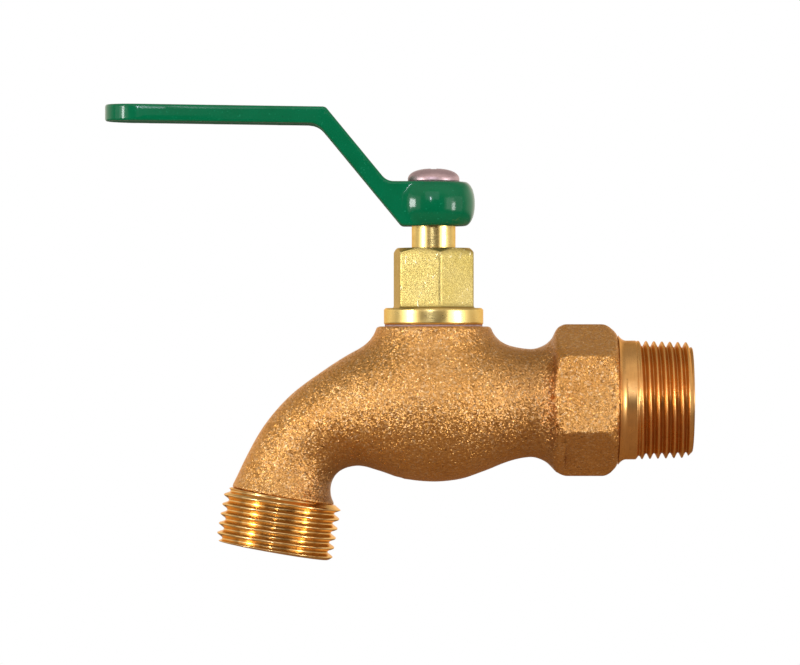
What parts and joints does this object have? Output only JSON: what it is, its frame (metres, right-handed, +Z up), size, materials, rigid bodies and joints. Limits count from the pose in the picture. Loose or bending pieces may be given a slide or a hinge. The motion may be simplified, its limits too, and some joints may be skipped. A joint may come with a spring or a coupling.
{
  "type": "hose bibb",
  "caption": "Quarter-turn outdoor tap with a globe-shaped cast bronze body, male pipe inlet, down-curved male hose spout, hexagon cartridge and long cranked green lever.",
  "frame": {"origin": "centre of the inlet's end face, on the axis of the male pipe thread", "axes": "+X out of the inlet along the pipe thread, +Z up along the stem, so the spout hangs over the -X end and the lever at rest points to -X"},
  "size_m": [0.134, 0.0348, 0.104],
  "materials": {
    "cast_bronze": "sand cast, threads and land turned bright",
    "turned_brass": "turned and tumbled",
    "gasket_fibre": "pressed fibre",
    "low_friction_plastic": "moulded",
    "black_rubber": "moulded",
    "spring_bronze": "stamped",
    "white_ceramic": "lapped",
    "green_enamel": "glossy enamel over a casting",
    "stainless_steel": "tumbled"
  },
  "bodies": {
    "valve": {"valve_body": "cast_bronze", "flange_gasket": "gasket_fibre", "cartridge_housing": "turned_brass", "slip_washer": "low_friction_plastic", "fixed_disc": "white_ceramic", "seat_seal": "black_rubber", "seal_support_ring": "low_friction_plastic"},
    "lever": {"handle": "green_enamel", "handle_screw": "stainless_steel", "spindle": "turned_brass", "spindle_o_ring_upper": "black_rubber", "spindle_o_ring_lower": "black_rubber", "retaining_ring": "spring_bronze", "rotating_disc": "white_ceramic"}
  },
  "joints": [
    {"name": "lever_turn", "type": "hinge", "parent": "valve", "child": "lever", "pos_m": [-0.059, 0, 0.04], "axis": [0, 0, 1], "range_deg": [-90, 0]}
  ]
}
